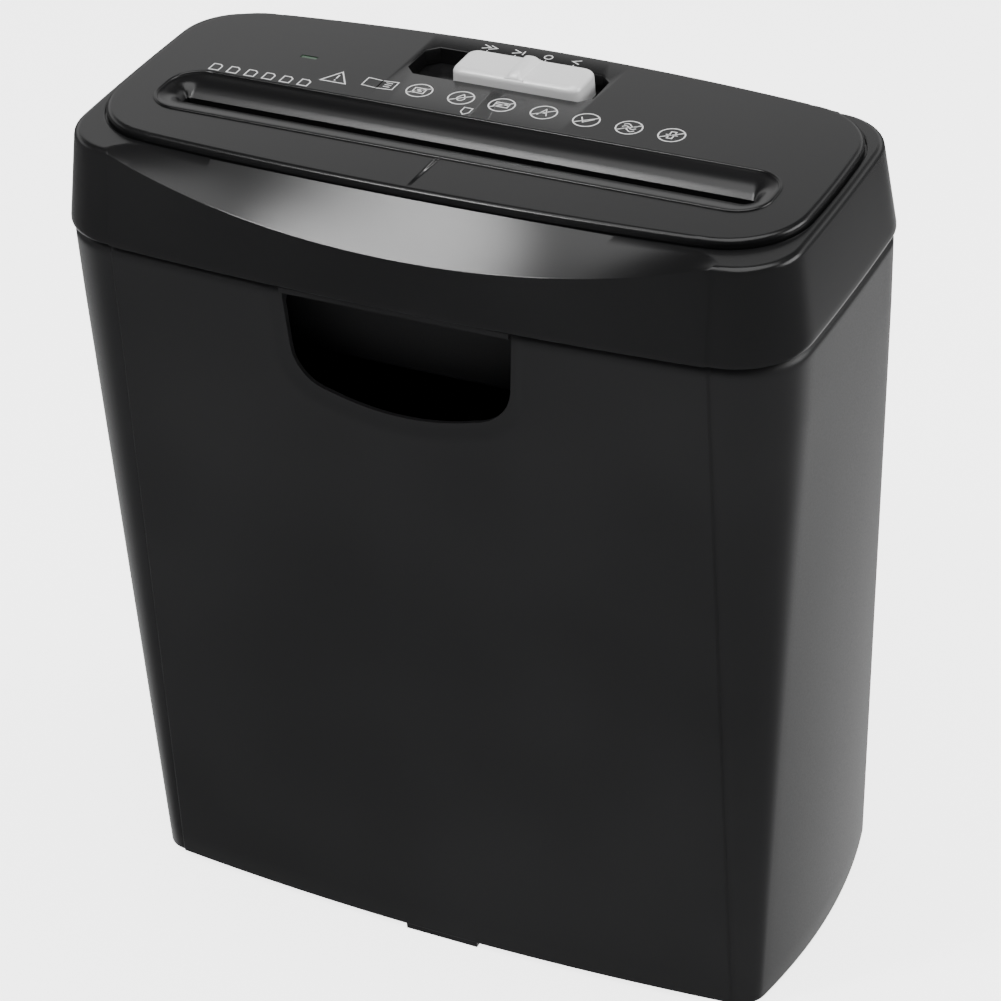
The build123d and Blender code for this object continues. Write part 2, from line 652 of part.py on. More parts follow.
# ---- motor ----
def make_motor_can():
    """The motor's steel can, open at its far end."""
    can = rod_x(MOTOR_R, MOTOR_X, *MOTOR_AT) - rod_x(MOTOR_R - 1.6, (MOTOR_X[0] + 3, MOTOR_X[1]), *MOTOR_AT)
    can -= rod_x(MOTOR_SHAFT_R + RUNNING, (-114, -109), *MOTOR_AT)
    for y, z in motor_screw_places():
        can -= rod_x(1.4, (-114, -109), y, z)
    for turn in (0, 90, 180, 270):
        slot = block((-72, -60), (15, 25), (-3, 3))
        can -= Pos(0, *MOTOR_AT) * Rot(turn + 45, 0, 0) * slot
    return can


def make_motor_end_bell():
    """The plastic cap that carries the rotor's far bearing and the terminals."""
    low, high = MOTOR_X[1], MOTOR_X[1] + 6
    bell = rod_x(MOTOR_R, (low, high), *MOTOR_AT) + rod_x(MOTOR_R - 1.7, (low - 3, low), *MOTOR_AT)
    bell -= rod_x(MOTOR_R - 4, (low - 3, low + 3), *MOTOR_AT)
    bell += rod_x(5, (low, high + 2), *MOTOR_AT)
    bell -= rod_x(MOTOR_SHAFT_R + RUNNING, (low - 4, high), *MOTOR_AT)
    for side in (-1, 1):
        bell += block((high, high + 4), (MOTOR_Y + side * 11 - 1.5, MOTOR_Y + side * 11 + 1.5),
                      (MOTOR_Z - 0.4, MOTOR_Z + 0.4))
    return bell


def make_motor_screws():
    """Two screws through the left plate."""
    return Compound([Pos(-115, y, z) * Rot(0, 90, 0) * screw(1.4, 2.6, 4.6, 1.2)
                     for y, z in motor_screw_places()])


def make_armature():
    """The slotted iron core."""
    core = rod_x(11, (-96, -70), *MOTOR_AT) - rod_x(MOTOR_SHAFT_R, (-96, -70), *MOTOR_AT)
    for turn in range(0, 360, 45):
        core -= Pos(0, *MOTOR_AT) * Rot(turn, 0, 0) * block((-97, -69), (5, 12), (-1, 1))
    return core


# ---- electrics ----
def make_circuit_board():
    """The control board under the panel."""
    board = block(BOARD_X, BOARD_Y, (BOARD_Z, BOARD_Z + BOARD_T))
    for x, y in BOARD_SCREWS:
        board -= rod_z(1.3, x, y, (BOARD_Z - 1, BOARD_Z + 3))
    return board


def make_board_components():
    """A relay, a film capacitor, a fuse, an electrolytic capacitor and a terminal strip, under the board."""
    top = BOARD_Z
    parts = [
        block((44, 60), (28, 40), (top - 13, top)),
        block((22, 38), (24, 32), (top - 11, top)),
        block((-12, 12), (44, 49), (top - 6, top)),
        rod_z(5.0, 2, 30, (top - 14, top)),
        block((-38, -20), (27, 41), (top - 5.0, top)),
    ]
    return Compound(parts)


def make_board_screws():
    """Four screws into the bosses above the board."""
    return Compound([Pos(x, y, BOARD_Z) * screw(1.1, 2.2, 8, 1.3) for x, y in BOARD_SCREWS])


def make_mode_switch():
    """The slide switch's case, with the channel its actuator moves in."""
    base = BOARD_Z + BOARD_T
    case = block((-20, 22), (30.5, 45), (base, base + 11))
    x = (KNOB_X[0] + KNOB_X[1]) / 2
    channel = (x + KNOB_TRAVEL[0] - 5.5, x + KNOB_TRAVEL[1] + 5.5)
    return case - block(channel, (34.2, 41.6), (base + 5, base + 12))


def make_switch_actuator():
    """The part of the knob that reaches through the pocket's floor into the switch."""
    x = (KNOB_X[0] + KNOB_X[1]) / 2
    foot = block((x - 5.0, x + 5.0), (34.6, 41.2), (BOARD_Z + BOARD_T + 5.4, BOARD_Z + BOARD_T + 9))
    stem = block((x - 4.0, x + 4.0), (35.6, 40.2), (BOARD_Z + BOARD_T + 9, RECESS_FLOOR + 0.4))
    return foot + stem


def make_mode_knob():
    """The sliding cap: a rounded slab with a ridge across its middle."""
    bottom = RECESS_FLOOR + 0.4
    slab = block(KNOB_X, KNOB_Y, (bottom, KNOB_TOP))
    slab = fillet(slab.edges().filter_by(Axis.Z), KNOB_CORNER)
    slab = fillet(slab.faces().sort_by(Axis.Z)[-1].edges(), 1.2)
    middle = (KNOB_X[0] + KNOB_X[1]) / 2
    profile = Polyline((middle - 5.0, KNOB_TOP - 1.5), (middle - 3.0, KNOB_RIDGE_TOP), (middle + 3.0, KNOB_RIDGE_TOP),
                       (middle + 5.0, KNOB_TOP - 1.5), close=True)
    ridge = extrude(Plane.XZ * make_face(profile), -(KNOB_Y[1] - KNOB_Y[0]) + 5.0)
    ridge = Pos(0, KNOB_Y[0] + 3.5, 0) * ridge
    return slab + ridge


def make_indicator_lens():
    """The light guide that fills the slit in the panel."""
    x, y = LED_AT
    return block((x - 3.25, x + 3.25), (y - 1, y + 1), (304.0, PANEL_Z - 0.2))


def make_indicator_led():
    """The lamp under the light guide, on the board."""
    x, y = LED_AT
    base = BOARD_Z + BOARD_T
    return rod_z(1.9, x, y, (base, base + 1)) + rod_z(1.5, x, y, (base + 1, base + 5.5)) + Pos(x, y, base + 5.5) * Sphere(1.5)


def make_thermal_cutout():
    """The motor's overheating cut-out, strapped on top of its can."""
    top = MOTOR_Z + MOTOR_R
    return block((-90, -72), (MOTOR_Y - 4, MOTOR_Y + 4), (top, top + 3.4))


# ---- paper sensor and interlock ----
def make_sensor_bracket():
    """A bracket under the cover that holds the lever's pin between two cheeks."""
    y, z = SENSOR_AT
    bracket = block((-5.6, 5.6), (y - 5, SLIT_Y - 5.4), (307.4, 309.4))
    for side in (-1, 1):
        x = sorted((side * 3.2, side * 5.0))
        bracket += block(x, (y - 4, y + 4), (z - 3, 308))
    return bracket - rod_x(1.2, (-7, 7), y, z)


def make_sensor_pin():
    """The lever's pin."""
    return rod_x(1.2, (-SENSOR_HALF_X, SENSOR_HALF_X), *SENSOR_AT)


def make_sensor_lever():
    """The lever that the paper pushes down."""
    y, z = SENSOR_AT
    lever = rod_x(2.5, (-2.8, 2.8), y, z) + block((-1.2, 1.2), (y, SLIT_Y + 1.8), (z - 0.8, z + 0.8))
    lever += block((-1.2, 1.2), (y - 4.2, y), (z - 0.6, z + 0.6))
    return lever - rod_x(1.2 + RUNNING, (-7, 7), y, z)


def microswitch(x, y, z):
    """A snap-action switch case with a plunger hole's boss."""
    return block(x, y, z) - rod_x(0.8, x, y[0] + 1.8, (z[0] + z[1]) / 2)


def make_sensor_switch():
    """The switch behind the lever's tail."""
    y, _ = SENSOR_AT
    return microswitch((-3.0, 3.0), (y - 12.5, y - 5.2), (298.0, 307.0))


def make_interlock_plunger():
    """The pin that the bin holds up while the head is on it."""
    x, y = PLUNGER_AT
    pin = rod_z(2.5, x, y, (276.4, 286.0)) + rod_z(3.8, x, y, (286.0, 287.2))
    return pin + rod_z(1.5, x, y, (287.2, 293.4))


def make_interlock_switch():
    """The switch above the plunger, with the blind hole that takes its stem."""
    x, y = PLUNGER_AT
    case = block((x - 9, x + 9), (y - 4, y + 4), (292.0, 300.5))
    return case - rod_z(1.5 + RUNNING + 0.05, x, y, (291, 297))


def make_interlock_spring():
    """The spring that pushes the plunger down."""
    x, y = PLUNGER_AT
    path = Helix(pitch=1.35, height=4.0, radius=2.4)
    section = Plane(origin=path @ 0, z_dir=path % 0) * Circle(0.3)
    return Pos(x, y, 287.6) * sweep(section, path=path)


NODES = {
    "bin": make_bin,
    "foot_pads": make_foot_pads,
    "top_cover": make_top_cover,
    "lower_housing": make_lower_housing,
    "cover_screws": make_cover_screws,
    "cord_gland": make_cord_gland,
    "left_side_plate": lambda: make_side_plate(-1),
    "right_side_plate": lambda: make_side_plate(1),
    "tie_rods": make_tie_rods,
    "frame_screws": make_frame_screws,
    "mounting_bushes": make_mounting_bushes,
    "shaft_bushes": make_shaft_bushes,
    "front_paper_guide": lambda: make_paper_guide(-1),
    "rear_paper_guide": lambda: make_paper_guide(1),
    "front_stripper_comb": lambda: make_stripper_comb(-1),
    "rear_stripper_comb": lambda: make_stripper_comb(1),
    "front_cutter_shaft": lambda: make_cutter_shaft(-1),
    "rear_cutter_shaft": lambda: make_cutter_shaft(1),
    "front_cutter_discs": lambda: make_cutter_discs(-1),
    "rear_cutter_discs": lambda: make_cutter_discs(1),
    "front_spacers": lambda: make_spacers(-1),
    "rear_spacers": lambda: make_spacers(1),
    "front_sync_gear": lambda: make_sync_gear(-1),
    "rear_sync_gear": lambda: make_sync_gear(1),
    "drive_gear": make_drive_gear,
    "drive_gear_clip": make_drive_gear_clip,
    "first_compound_gear": make_first_compound,
    "second_compound_gear": make_second_compound,
    "gear_axles": make_gear_axles,
    "axle_clips": make_axle_clips,
    "motor_can": make_motor_can,
    "motor_end_bell": make_motor_end_bell,
    "motor_screws": make_motor_screws,
    "motor_armature": make_armature,
    "motor_shaft": lambda: rod_x(MOTOR_SHAFT_R, (LAYER_A[0], -50), *MOTOR_AT),
    "motor_pinion": lambda: (driver(ROTOR_TEETH, MODULE_A, LAYER_A, MOTOR_AT, FIRST_AT)
                             - rod_x(MOTOR_SHAFT_R, LAYER_A, *MOTOR_AT)),
    "thermal_cutout": make_thermal_cutout,
    "circuit_board": make_circuit_board,
    "board_components": make_board_components,
    "board_screws": make_board_screws,
    "mode_switch": make_mode_switch,
    "switch_actuator": make_switch_actuator,
    "mode_knob": make_mode_knob,
    "indicator_lens": make_indicator_lens,
    "indicator_led": make_indicator_led,
    "sensor_bracket": make_sensor_bracket,
    "sensor_pin": make_sensor_pin,
    "sensor_lever": make_sensor_lever,
    "sensor_switch": make_sensor_switch,
    "interlock_plunger": make_interlock_plunger,
    "interlock_switch": make_interlock_switch,
    "interlock_spring": make_interlock_spring,
}

os.makedirs("parts", exist_ok=True)
for name, make in NODES.items():
    save(name, make())
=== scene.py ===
import json
from math import atan2, cos, pi, radians, sin, sqrt, tan

import bmesh
import bpy
import numpy as np
from mathutils import Matrix, Vector


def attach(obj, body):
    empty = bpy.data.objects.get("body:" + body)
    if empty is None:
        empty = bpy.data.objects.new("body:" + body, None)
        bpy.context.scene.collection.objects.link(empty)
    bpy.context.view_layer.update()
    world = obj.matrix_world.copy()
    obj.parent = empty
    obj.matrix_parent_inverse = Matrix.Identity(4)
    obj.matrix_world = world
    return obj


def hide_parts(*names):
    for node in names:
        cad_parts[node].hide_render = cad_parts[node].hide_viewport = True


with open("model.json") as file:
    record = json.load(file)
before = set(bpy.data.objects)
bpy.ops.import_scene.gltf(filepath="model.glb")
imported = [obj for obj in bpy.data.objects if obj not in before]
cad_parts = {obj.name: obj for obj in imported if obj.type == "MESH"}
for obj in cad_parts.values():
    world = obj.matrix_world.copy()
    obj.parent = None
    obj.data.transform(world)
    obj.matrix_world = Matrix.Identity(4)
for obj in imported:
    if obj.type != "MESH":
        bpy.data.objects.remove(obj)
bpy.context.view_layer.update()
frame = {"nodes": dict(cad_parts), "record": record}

MM = 0.001

# ---- sizes shared with the CAD source, in mm ----
FOOT_Z = 2.0                        # the bin's underside
RIM_Z = 279.5                       # top of the bin's rim
HEAD_Z = 279.9                      # lower edge of the head's skirt
SHOULDER_Z = 314.4                  # top of the skirt
PANEL_Z = 317.4                     # top of the raised panel
WALL = 2.2
HEAD_WALL = 2.6
CREASE_STEP = 0.8                   # the fronts and backs stand proud of the rounded ends

# plan shapes of the covers: each pair is the lower and the upper edge
BIN_HALF_X = (132.5, 140.5)
BIN_DEPTH = (66.0, 67.0)            # from the middle plane to the bowed front, and to the back
BIN_BOW = (5.8, 4.2)
BIN_CORNER = (9.6, 26.8)
BIN_CREASE_X = (116.4, 113.0)
HEAD_HALF_X = (141.2, 137.0)
HEAD_DEPTH = (68.5, 65.6)
HEAD_BOW = (4.2, 7.2)
HEAD_CORNER = (29.6, 26.3)
HEAD_CREASE_X = (113.0, 112.7)
PANEL_HALF_X = 133.0
PANEL_Y = (-50.3, 61.5)
PANEL_BOW = (3.8, 6.6)              # in front and behind
PANEL_CORNER = 30.0
PANEL_CREASE_X = 103.5
FOOT_Y = (54.0, 65.7)               # the feet moulded under the front and the back
FOOT_HALF_X = 15.0
POST_X = (66.0, 74.0)               # the post that the interlock's plunger meets
POST_Y = (-62.0, -49.0)
POST_Z = (258.0, 276.0)

SLIT_Y = -11.4
SLIT_HALF = (109.0, 2.5)
TROUGH_HALF = (115.3, 13.0)
TROUGH_TILTS = (6.0, 43.0)          # slope of its wall at the top and beside the slit, degrees
TROUGH_KNEE = 0.8                   # the share of its width over which the wall steepens
CRESCENT_HALF_X = 118.0
CRESCENT_NEAR = ((-51.2, 0.0), (-47.0, 0.6))      # (y, rise over the shoulder) in the middle and at the tips
CRESCENT_FAR = ((-66.8, 299.4), (-57.9, 315.2))   # (y, z) in the middle and at the tips
# right half of the hand hold as (x, z): its top, down its side, the end of its corner, its lowest point
HOLE = ((44.3, 284.5), (42.3, 256.0), (38.0, 245.6), (28.0, 240.2), (0.0, 236.0))
POCKET_X = (-41.0, 31.5)
POCKET_Y = (27.6, 49.1)
POCKET_FLOOR = 311.2
POCKET_CORNER = 4.2
STEM_SLOT_Y = (35.2, 40.6)
STEM_REACH = (-11.6, 8.1)           # of the stem's slot, from the knob's middle
KNOB_X = (-23.4, 26.8)
KNOB_Y = (28.6, 47.1)
KNOB_Z = (311.6, 321.1)
KNOB_RIDGE_Z = 323.1
KNOB_CORNER = 4.2
LED_AT = (-78.0, 25.8)
LED_HALF = (3.25, 1.0)

# ---- details of the looks, in mm ----
HOLE_BORDER = 7.0                   # width of the sunken border round the hand hold
HOLE_SINK = 1.3                     # how far it is pressed in at the hole's edge
BEAD = (1.6, 0.8, 0.6)              # the trough's rim: distance from the trough, half width and height
CRESCENT_ROUND = 0.55               # rounding of the crescent's lower edge
POCKET_ROUND = 0.6                  # at the mouth of the knob's pocket
KNOB_ROUND = 2.4
INK_Z = PANEL_Z + 0.03
INK_T = 0.05
STROKE = 0.45                       # usual width of a printed line
MARK_Y = 16.0                       # middle of the row of rings
RING_R = 4.7
RING_XS = (-28.6, -12.2, 3.6, 19.8, 36.0, 52.1, 68.0)
SIGNS_Y = 55.1                      # the knob's position signs

# ---- mesh density: segments of an outline ----
LONG = 150                          # across the front
BACK = 48                           # across the back
CORNER = 12
END = 24
SHARP = 32.0                        # edges over this angle stay crisp, degrees


def mix(low, high, t):
    """Between two numbers."""
    return low + (high - low) * t


# ---- outlines: every ring has the same points in the same order, so any two can be joined ----
def bowed(crease_x, edge, bow, count):
    """Points of a bowed side from -X to +X; edge is its middle's y and bow its rise towards the middle."""
    radius = (crease_x**2 + bow**2) / (2 * bow)
    points = []
    for i in range(count + 1):
        x = mix(-crease_x, crease_x, i / count)
        points.append((x, edge + radius - sqrt(radius**2 - x**2)))
    return points


def ring_of(front, right, back):
    """One closed ring from its front, its right end and its back, with the left end mirrored."""
    left = [(-x, y) for x, y in reversed(right)]
    return front + right + back[::-1] + left


def outline(half_x, front, back, corner, crease_x, front_bow, back_bow, step=CREASE_STEP):
    """The plan shape of a cover: bowed front and back, a step at each crease, round corners, bowed ends."""
    corner_x = crease_x + step
    corner = min(corner, half_x - corner_x - 0.5)
    front_c = front + front_bow + step + corner
    back_c = back - back_bow - step - corner
    middle = (front_c + back_c) / 2
    reach = (back_c - front_c) / 2
    over = corner_x + corner - half_x
    end_r = (corner**2 - (corner_x - half_x) ** 2 - reach**2) / (2 * over)
    end_x = half_x - end_r
    slope = atan2(reach, corner_x - end_x)
    near = []
    far = []
    for i in range(CORNER + 1):
        angle = mix(pi / 2, slope, i / CORNER)
        near.append((corner_x + corner * cos(angle), front_c - corner * sin(angle)))
        far.append((corner_x + corner * cos(angle), back_c + corner * sin(angle)))
    end = []
    for i in range(1, END):
        angle = mix(-slope, slope, i / END)
        end.append((end_x + end_r * cos(angle), middle + end_r * sin(angle)))
    behind = [(x, -y) for x, y in bowed(crease_x, -back, back_bow, BACK)]
    return ring_of(bowed(crease_x, front, front_bow, LONG), near + end + far[::-1], behind)


def slot_outline(half_x, half_y, corner):
    """A rectangle with round corners around the slit, with the points of outline()."""
    y = SLIT_Y
    flat = half_x - corner
    straight = 0.995 * flat
    near = []
    far = []
    for i in range(CORNER + 1):
        angle = pi / 2 * (1 - i / CORNER)
        near.append((flat + corner * cos(angle), y - half_y + corner - corner * sin(angle)))
        far.append((flat + corner * cos(angle), y + half_y - corner + corner * sin(angle)))
    end = [(half_x, mix(near[-1][1], far[-1][1], i / END)) for i in range(1, END)]
    front = [(mix(-straight, straight, i / LONG), y - half_y) for i in range(LONG + 1)]
    behind = [(mix(-straight, straight, i / BACK), y + half_y) for i in range(BACK + 1)]
    return ring_of(front, near + end + far[::-1], behind)


def at(z, points):
    """A plan shape lifted to a height."""
    return [(x, y, z) for x, y in points]


def bin_ring(z, inset=0.0):
    """The bin's outline, which widens upwards."""
    t = (z - FOOT_Z) / (HEAD_Z - FOOT_Z)
    depth = mix(*BIN_DEPTH, t) - inset
    bow = mix(*BIN_BOW, t)
    return at(z, outline(mix(*BIN_HALF_X, t) - inset, -depth, depth, mix(*BIN_CORNER, t) - inset * t,
                         mix(*BIN_CREASE_X, t), bow, bow))


def head_ring(z, inset=0.0):
    """The head's outline, which narrows upwards."""
    t = (z - HEAD_Z) / (SHOULDER_Z - HEAD_Z)
    depth = mix(*HEAD_DEPTH, t) - inset
    bow = mix(*HEAD_BOW, t)
    return at(z, outline(mix(*HEAD_HALF_X, t) - inset, -depth, depth, mix(*HEAD_CORNER, t) - inset,
                         mix(*HEAD_CREASE_X, t), bow, bow))


def panel_ring(z, inset=0.0):
    """The raised panel's outline."""
    return at(z, outline(PANEL_HALF_X - inset, PANEL_Y[0] + inset, PANEL_Y[1] - inset, PANEL_CORNER - inset,
                         PANEL_CREASE_X, *PANEL_BOW, 0.3))


def slot_ring(z, half_x, half_y, corner):
    """A ring around the paper slit."""
    return at(z, slot_outline(half_x, half_y, corner))


def rolled(ring, z, inset, radius, count=6):
    """Rings of a quarter-round edge that starts upright at (z, inset) and ends level at its top."""
    angles = [pi / 2 * i / count for i in range(count + 1)]
    return [ring(z + radius * sin(a), inset + radius * (1 - cos(a))) for a in angles]


# ---- mesh helpers ----
def smooth(mesh, sharp=SHARP):
    """Smooth shading, except at edges sharper than the angle."""
    mesh.polygons.foreach_set("use_smooth", [True] * len(mesh.polygons))
    mesh.set_sharp_from_angle(angle=radians(sharp))


def finish_mesh(bm, name, sharp=SHARP):
    """A metre-sized object from a millimetre bmesh."""
    bmesh.ops.recalc_face_normals(bm, faces=bm.faces)
    bmesh.ops.scale(bm, vec=(MM, MM, MM), verts=bm.verts)
    mesh = bpy.data.meshes.new(name)
    bm.to_mesh(mesh)
    bm.free()
    smooth(mesh, sharp)
    piece = bpy.data.objects.new(name, mesh)
    bpy.context.scene.collection.objects.link(piece)
    return piece


def add_skin(bm, rings, closed=False):
    """Quads between rings. The first and last rings are capped, or joined to each other if closed."""
    loops = [[bm.verts.new(p) for p in ring] for ring in rings]
    pairs = list(zip(loops, loops[1:]))
    if closed:
        pairs.append((loops[-1], loops[0]))
    for low, high in pairs:
        for i in range(len(low)):
            j = (i + 1) % len(low)
            bm.faces.new((low[i], low[j], high[j], high[i]))
    if not closed:
        bm.faces.new(loops[0][::-1])
        bm.faces.new(loops[-1])
    return loops


def skin(name, rings, closed=False):
    """An object made of one skin."""
    bm = bmesh.new()
    add_skin(bm, rings, closed)
    return finish_mesh(bm, name)


def add_prism(bm, points, low, high):
    """An upright prism over a plan outline."""
    add_skin(bm, [at(low, points), at(high, points)])


def box(x, y):
    """A rectangle as plan points, from two (low, high) pairs."""
    return [(x[0], y[0]), (x[1], y[0]), (x[1], y[1]), (x[0], y[1])]


def cut(piece, cutters):
    """Takes closed cutters out of a piece with exact booleans."""
    for cutter in cutters:
        boolean = piece.modifiers.new("cut", "BOOLEAN")
        boolean.operation = "DIFFERENCE"
        boolean.solver = "EXACT"
        boolean.object = cutter
    graph = bpy.context.evaluated_depsgraph_get()
    result = bpy.data.meshes.new_from_object(piece.evaluated_get(graph))
    piece.modifiers.clear()
    piece.data = result
    smooth(result)
    for cutter in cutters:
        bpy.data.objects.remove(cutter)
    return piece


# ---- bin ----
def arc_through(a, b, c, count):
    """Points of the arc from a over b to c."""
    (ax, ay), (bx, by), (cx, cy) = a, b, c
    d = 2 * (ax * (by - cy) + bx * (cy - ay) + cx * (ay - by))
    ux = ((ax**2 + ay**2) * (by - cy) + (bx**2 + by**2) * (cy - ay) + (cx**2 + cy**2) * (ay - by)) / d
    uy = ((ax**2 + ay**2) * (cx - bx) + (bx**2 + by**2) * (ax - cx) + (cx**2 + cy**2) * (bx - ax)) / d
    start = atan2(ay - uy, ax - ux)
    sweep = (atan2(cy - uy, cx - ux) - start + pi) % (2 * pi) - pi
    radius = sqrt((ax - ux) ** 2 + (ay - uy) ** 2)
    angles = [start + sweep * i / count for i in range(count + 1)]
    return [(ux + radius * cos(t), uy + radius * sin(t)) for t in angles]


def hole_outline():
    """The D-shaped hand hold as (x, z) points, from its top right corner round to its top left."""
    top, side, bend, corner_end, middle = HOLE
    right = [top] + arc_through(side, bend, corner_end, 14)
    left = [(-x, z) for x, z in reversed(right)]
    below = arc_through(corner_end, middle, (-corner_end[0], corner_end[1]), 30)
    return right + below[1:-1] + left


def distance_to(points, line):
    """Shortest distance from each (x, z) point to an open polyline."""
    best = np.full(len(points), 1e9)
    for (ax, az), (bx, bz) in zip(line, line[1:]):
        start = np.array((ax, az))
        run = np.array((bx - ax, bz - az))
        along = np.clip(((points - start) @ run) / (run @ run), 0, 1)
        best = np.minimum(best, np.linalg.norm(points - start - along[:, None] * run, axis=1))
    return best


def sink_border(rings):
    """Presses the front wall in around the hand hold, so that its edge turns inwards."""
    line = hole_outline()
    sunk = []
    for ring in rings:
        points = np.array(ring)
        near = distance_to(points[:, (0, 2)], line)
        inside = (np.abs(points[:, 0]) < 42) & (points[:, 2] > 243)
        share = np.clip(1 - near / HOLE_BORDER, np.where(inside, 0.6, 0), 1)
        step = share * share * (3 - 2 * share)
        front = points[:, 1] < -40
        points[front, 1] += HOLE_SINK * step[front]
        sunk.append([tuple(p) for p in points])
    return sunk


def make_bin():
    """The tub: a bowed shell with a turned rim and a D-shaped hand hold."""
    wall_low = [bin_ring(z) for z in np.linspace(3.2, 222, 24)]
    wall_high = [bin_ring(z) for z in np.linspace(223.5, 275.6, 40)]
    rim = [bin_ring(276.6, 0.15), bin_ring(277.4, 0.55), bin_ring(278.2, 1.2), bin_ring(278.9, 2.0),
           bin_ring(279.3, 2.8), bin_ring(RIM_Z, 3.6)]
    outside = [bin_ring(FOOT_Z, 1.2), bin_ring(2.35, 0.45), bin_ring(2.8, 0.1)] + wall_low + wall_high + rim
    inside = [bin_ring(RIM_Z, 4.3), bin_ring(275.6, 4.6), bin_ring(272, WALL), bin_ring(7, WALL),
              bin_ring(5, WALL + 0.8), bin_ring(4.6, WALL + 2)]
    shell = skin("bin_shell", sink_border(outside + inside))
    cutter = bmesh.new()
    line = hole_outline()
    add_skin(cutter, [[(x, y, z) for x, z in line] for y in (-90, -50)])
    return cut(shell, [finish_mesh(cutter, "hole_cutter")])


def make_bin_details():
    """The moulded feet under the front and back walls, and the post that the interlock's plunger meets."""
    bm = bmesh.new()
    edge = 0.4
    for side in (-1, 1):
        y = sorted((side * FOOT_Y[0], side * FOOT_Y[1]))
        foot = box((-FOOT_HALF_X, FOOT_HALF_X), y)
        tread = box((-0.96 * FOOT_HALF_X, 0.96 * FOOT_HALF_X), (y[0] + edge, y[1] - edge))
        add_skin(bm, [at(0, tread), at(edge, foot), at(3.6, foot)])
    post = box(POST_X, POST_Y)
    add_skin(bm, [at(POST_Z[0], post), at(POST_Z[1] - edge, post),
                  at(POST_Z[1], [(x * 0.999, y + 0.1) for x, y in post])])
    return finish_mesh(bm, "bin_details")


# ---- head ----
def crescent_levels(x):
    """Where the crescent's face starts behind and where it meets the skirt, at one x."""
    t = (x / CRESCENT_HALF_X) ** 2
    (near_y, rise), (tip_near_y, tip_rise) = CRESCENT_NEAR
    (far_y, far_z), (tip_far_y, tip_far_z) = CRESCENT_FAR
    near = (mix(near_y, tip_near_y, t), SHOULDER_Z + mix(rise, tip_rise, t))
    return near, (mix(far_y, tip_far_y, t), mix(far_z, tip_far_z, t))


def make_crescent_cutter():
    """A closed solid over the twisted crescent face."""
    count = 96
    sections = []
    for i in range(count + 1):
        x = mix(-CRESCENT_HALF_X, CRESCENT_HALF_X, i / count)
        near, edge = crescent_levels(x)
        steps = [(mix(near[0], edge[0], s), mix(near[1], edge[1], s)) for s in (0, 0.25, 0.5, 0.75, 1, 1.9)]
        section = steps + [(steps[-1][0], SHOULDER_Z + 20), (near[0], SHOULDER_Z + 20)]
        sections.append([(x, y, z) for y, z in section])
    return skin("crescent_cutter", sections)


def under_crescent(ring):
    """Keeps an inside ring below the crescent's face."""
    kept = []
    for x, y, z in ring:
        if abs(x) < CRESCENT_HALF_X and y < -40:
            near, edge = crescent_levels(x)
            share = (near[0] - y) / (near[0] - edge[0])
            z = min(z, mix(near[1], edge[1], share) - 2.4)
        kept.append((x, y, z))
    return kept


def make_skirt():
    """The head's skirt and shoulder, with the crescent cut into its front."""
    outside = [head_ring(HEAD_Z, 1.3), head_ring(HEAD_Z + 0.15, 0.7), head_ring(HEAD_Z + 0.5, 0.25),
               head_ring(HEAD_Z + 1.0, 0.05)]
    outside += [head_ring(z) for z in np.linspace(HEAD_Z + 1.6, 312.2, 14)]
    outside += rolled(head_ring, 312.4, 0.0, 2.0, 8)
    shoulder_in = panel_ring(SHOULDER_Z, -1.0)
    last = outside[-1]
    for share in (0.06, 0.5, 0.94):
        outside.append([tuple(mix(a, b, share) for a, b in zip(p, q)) for p, q in zip(last, shoulder_in)])
    outside += [shoulder_in, panel_ring(SHOULDER_Z - 0.12, -0.75), panel_ring(313.4, -0.6),
                panel_ring(313.3, 2.5)]
    wall_top = head_ring(311.6, HEAD_WALL)
    bare_in = panel_ring(311.6, 2.5)
    under = [[tuple(mix(a, b, s) for a, b in zip(p, q)) for p, q in zip(bare_in, wall_top)]
             for s in (0, 0.25, 0.5, 0.75, 1)]
    wall = [head_ring(z, HEAD_WALL) for z in np.linspace(310, HEAD_Z, 12)]
    inside = [under_crescent(ring) for ring in under + wall]
    skirt = skin("head_skirt", outside + inside, closed=True)
    return ease_crescent(cut(skirt, [make_crescent_cutter()]))


def ease_crescent(skirt):
    """Rounds the crescent's lower edge, so that it catches the light."""
    bm = bmesh.new()
    bm.from_mesh(skirt.data)
    crisp = []
    for edge in bm.edges:
        x, y, z = (edge.verts[0].co + edge.verts[1].co) / (2 * MM)
        if abs(x) > CRESCENT_HALF_X - 6 or len(edge.link_faces) != 2:
            continue
        low_y, low_z = crescent_levels(x)[1]
        if abs(y - low_y) < 1.5 and abs(z - low_z) < 1.5 and edge.calc_face_angle() > radians(12):
            crisp.append(edge)
    bmesh.ops.bevel(bm, geom=crisp, offset=CRESCENT_ROUND * MM, offset_type="OFFSET", segments=3, profile=0.5,
                    affect="EDGES", clamp_overlap=True)
    bm.to_mesh(skirt.data)
    bm.free()
    smooth(skirt.data)
    return skirt


def trough_rings():
    """From the panel down to the slit: a rounded wall that steepens, then keeps its slope."""
    run = TROUGH_HALF[1] - SLIT_HALF[1]
    count = 18
    drop = 0.25
    rings = []
    for i in range(count + 1):
        share = 1 - i / count
        half = (mix(SLIT_HALF[0], TROUGH_HALF[0], share), mix(SLIT_HALF[1], TROUGH_HALF[1], share))
        rings.append(slot_ring(PANEL_Z - drop, *half, mix(1.2, 10.5, share)))
        steepness = min(1.0, i / count / TROUGH_KNEE) ** 2.2
        drop += tan(radians(mix(*TROUGH_TILTS, steepness))) * run / count
    return rings


